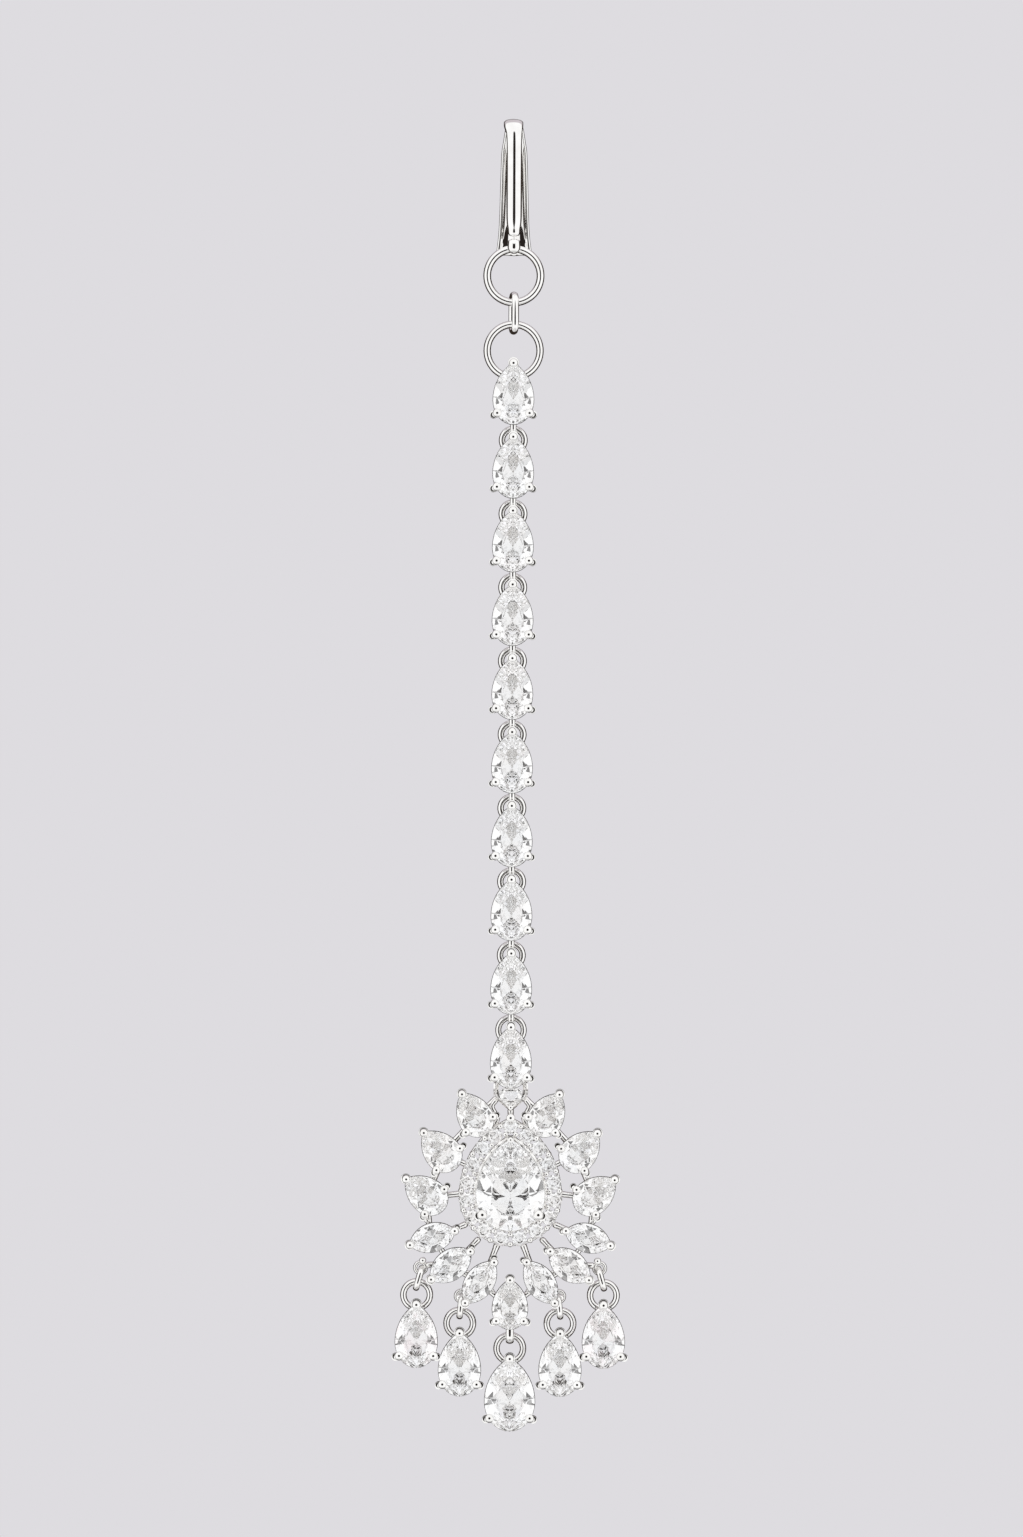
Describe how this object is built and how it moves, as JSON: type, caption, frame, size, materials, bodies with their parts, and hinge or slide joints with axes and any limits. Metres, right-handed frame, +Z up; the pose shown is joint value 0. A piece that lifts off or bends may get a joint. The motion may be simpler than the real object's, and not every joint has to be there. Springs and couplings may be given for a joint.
{
  "type": "maang tikka",
  "caption": "Forehead jewel hanging from a flat hair hook: a chain of claw-set pear stones and a sunburst pendant with a haloed pear centre and pear drops below.",
  "frame": {"origin": "inside of the hook's top bend, where the hair or cord that carries the jewel lies", "axes": "+Z up along the hanging chain, -Y towards the viewer, out of the stones' tables, +X to the viewer's right"},
  "size_m": [0.0232, 0.0048, 0.131],
  "materials": {
    "white_metal": "mirror-polished white plating",
    "white_stone": "clear faceted stone"
  },
  "bodies": {
    "chain": {"hook": "white_metal", "jump_link": "white_metal", "chain_setting_01": "white_metal", "chain_setting_02": "white_metal", "chain_setting_03": "white_metal", "chain_setting_04": "white_metal", "chain_setting_05": "white_metal", "chain_setting_06": "white_metal", "chain_setting_07": "white_metal", "chain_setting_08": "white_metal", "chain_setting_09": "white_metal", "chain_stone_01": "white_stone", "chain_stone_02": "white_stone", "chain_stone_03": "white_stone", "chain_stone_04": "white_stone", "chain_stone_05": "white_stone", "chain_stone_06": "white_stone", "chain_stone_07": "white_stone", "chain_stone_08": "white_stone", "chain_stone_09": "white_stone"},
    "pendant": {"pendant_frame": "white_metal", "centre_stone": "white_stone", "halo_stones": "white_stone", "bail_stone": "white_stone", "bezel_stone": "white_stone", "petal_stone_left_1": "white_stone", "petal_stone_left_2": "white_stone", "petal_stone_left_3": "white_stone", "petal_stone_left_4": "white_stone", "petal_stone_left_5": "white_stone", "petal_stone_left_6": "white_stone", "petal_stone_right_1": "white_stone", "petal_stone_right_2": "white_stone", "petal_stone_right_3": "white_stone", "petal_stone_right_4": "white_stone", "petal_stone_right_5": "white_stone", "petal_stone_right_6": "white_stone", "petal_stone_foot": "white_stone", "drop_link_left_outer": "white_metal", "drop_link_left_inner": "white_metal", "drop_link_right_inner": "white_metal", "drop_link_right_outer": "white_metal", "drop_setting_left_outer": "white_metal", "drop_setting_left_inner": "white_metal", "drop_setting_middle": "white_metal", "drop_setting_right_inner": "white_metal", "drop_setting_right_outer": "white_metal", "drop_stone_left_outer": "white_stone", "drop_stone_left_inner": "white_stone", "drop_stone_middle": "white_stone", "drop_stone_right_inner": "white_stone", "drop_stone_right_outer": "white_stone"}
  },
  "joints": [
    {"name": "pendant_swing", "type": "hinge", "parent": "chain", "child": "pendant", "pos_m": [0, 0.001, -0.08908], "axis": [1, 0, 0], "range_deg": [-18, 60]}
  ]
}
